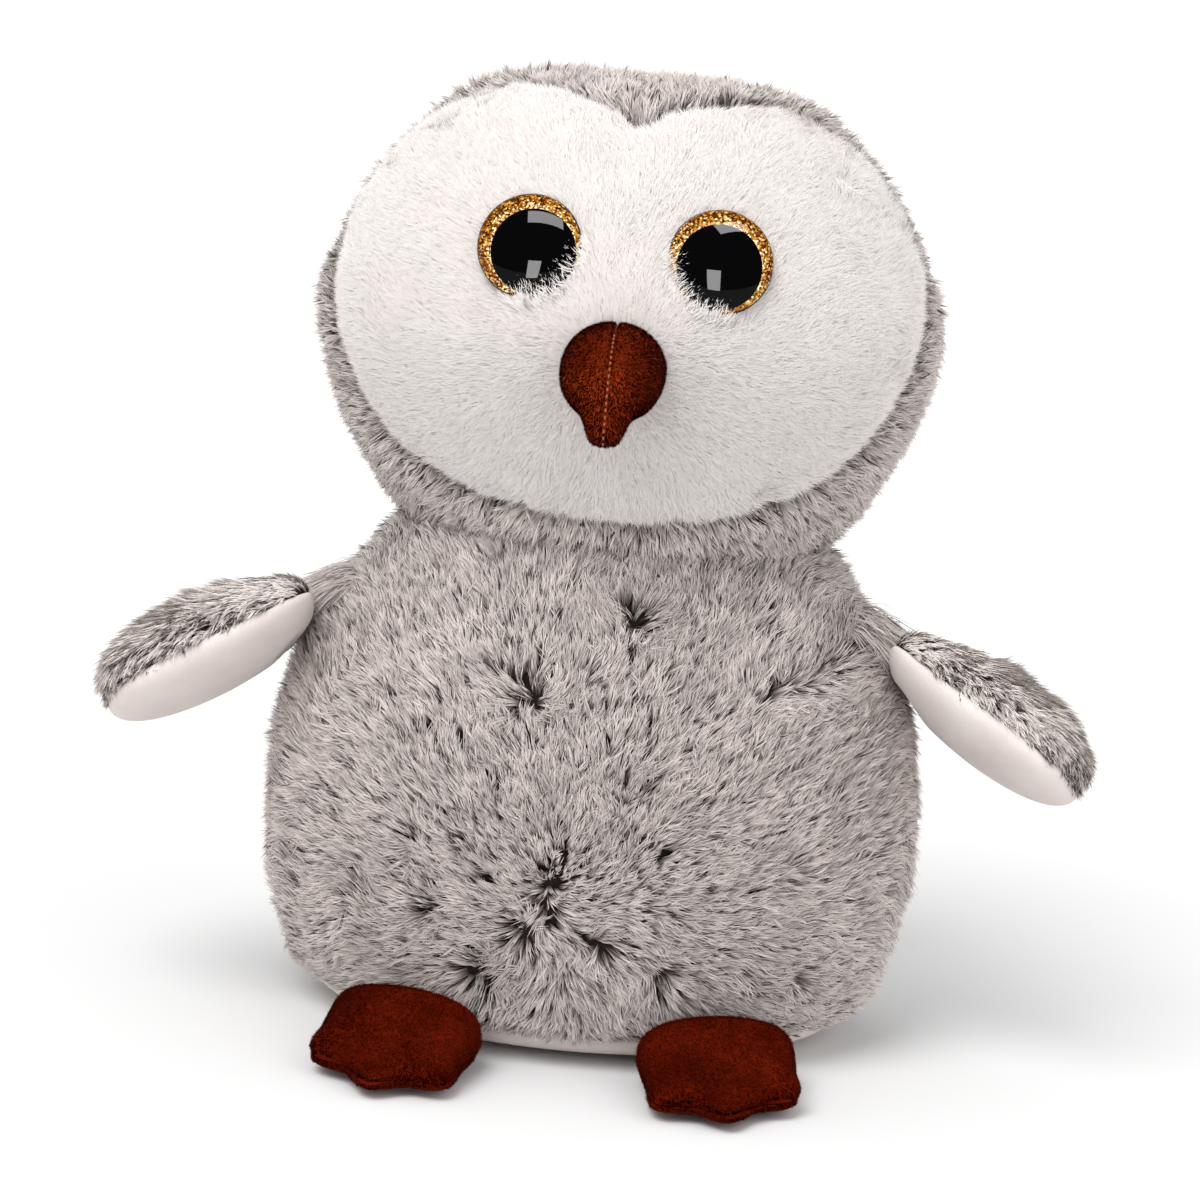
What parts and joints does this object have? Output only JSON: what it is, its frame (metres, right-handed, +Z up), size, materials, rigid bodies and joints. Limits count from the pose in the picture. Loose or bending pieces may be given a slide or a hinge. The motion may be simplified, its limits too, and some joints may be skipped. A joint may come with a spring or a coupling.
{
  "type": "plush owl",
  "caption": "Seated stuffed owl in long grey plush, with a white heart-shaped face, domed glitter eyes, hooked beak, stub wings and flat three-toed feet.",
  "frame": {"origin": "the middle of the flat base that the owl sits on", "axes": "+Z up, the owl faces -Y, its own left wing is on +X"},
  "size_m": [0.4108, 0.2717, 0.398],
  "materials": {
    "grey_plush": "long-pile plush, dark roots and pale tips, 10 to 14 mm pile",
    "white_plush": "dense short-pile plush, 6 mm pile",
    "pale_lining": "smooth velvety pile, 1 mm",
    "rust_felt": "short-nap plush, slightly mottled",
    "beak_felt": "short-nap plush with a hand-stitched ridge",
    "eye_lens": "high gloss, domed",
    "gold_glitter": "metallic glitter printed on the back of the lens",
    "black_plastic": "moulded, satin",
    "white_plastic": "moulded, satin",
    "polyester_filling": "loose white fibre",
    "pellet_cloth": "plain woven cotton"
  },
  "bodies": {
    "torso": {"body_stuffing": "polyester_filling", "pellet_bag": "pellet_cloth", "base_panel": "pale_lining", "body_front_cover": "grey_plush", "body_back_cover_left": "grey_plush", "body_back_cover_right": "grey_plush"},
    "head": {"head_stuffing": "polyester_filling", "face_panel": "white_plush", "beak_stuffing": "polyester_filling", "head_cover_left": "grey_plush", "beak_left_panel": "beak_felt", "eye_left_lens": "eye_lens", "eye_left_iris": "gold_glitter", "eye_left_backing": "black_plastic", "eye_left_washer": "white_plastic", "head_cover_right": "grey_plush", "beak_right_panel": "beak_felt", "eye_right_lens": "eye_lens", "eye_right_iris": "gold_glitter", "eye_right_backing": "black_plastic", "eye_right_washer": "white_plastic"},
    "wing_left": {"wing_left_outer": "grey_plush", "wing_left_lining": "pale_lining", "wing_left_stuffing": "polyester_filling"},
    "wing_right": {"wing_right_outer": "grey_plush", "wing_right_lining": "pale_lining", "wing_right_stuffing": "polyester_filling"},
    "foot_left": {"foot_left_top": "rust_felt", "foot_left_sole": "rust_felt", "foot_left_stuffing": "polyester_filling"},
    "foot_right": {"foot_right_top": "rust_felt", "foot_right_sole": "rust_felt", "foot_right_stuffing": "polyester_filling"}
  },
  "joints": [
    {"name": "head_turn", "type": "hinge", "parent": "torso", "child": "head", "pos_m": [0, 0, 0.204], "axis": [0, 0, 1], "range_deg": [-15, 15], "stiffness_Nm_per_rad": 0.5},
    {"name": "wing_left_flap", "type": "hinge", "parent": "torso", "child": "wing_left", "pos_m": [0.13397, -0.02177, 0.16169], "axis": [-0.2403, -0.8666, 0.4373], "range_deg": [-25, 45], "stiffness_Nm_per_rad": 0.25},
    {"name": "wing_right_flap", "type": "hinge", "parent": "torso", "child": "wing_right", "pos_m": [-0.13397, -0.02177, 0.16169], "axis": [-0.2403, 0.8666, -0.4373], "range_deg": [-25, 45], "stiffness_Nm_per_rad": 0.25},
    {"name": "foot_left_fold", "type": "hinge", "parent": "torso", "child": "foot_left", "pos_m": [0.06299, -0.09928, 0.015], "axis": [-0.9242, -0.382, 0], "range_deg": [-20, 50], "stiffness_Nm_per_rad": 0.1},
    {"name": "foot_right_fold", "type": "hinge", "parent": "torso", "child": "foot_right", "pos_m": [-0.06299, -0.09928, 0.015], "axis": [-0.9242, 0.382, 0], "range_deg": [-20, 50], "stiffness_Nm_per_rad": 0.1}
  ]
}
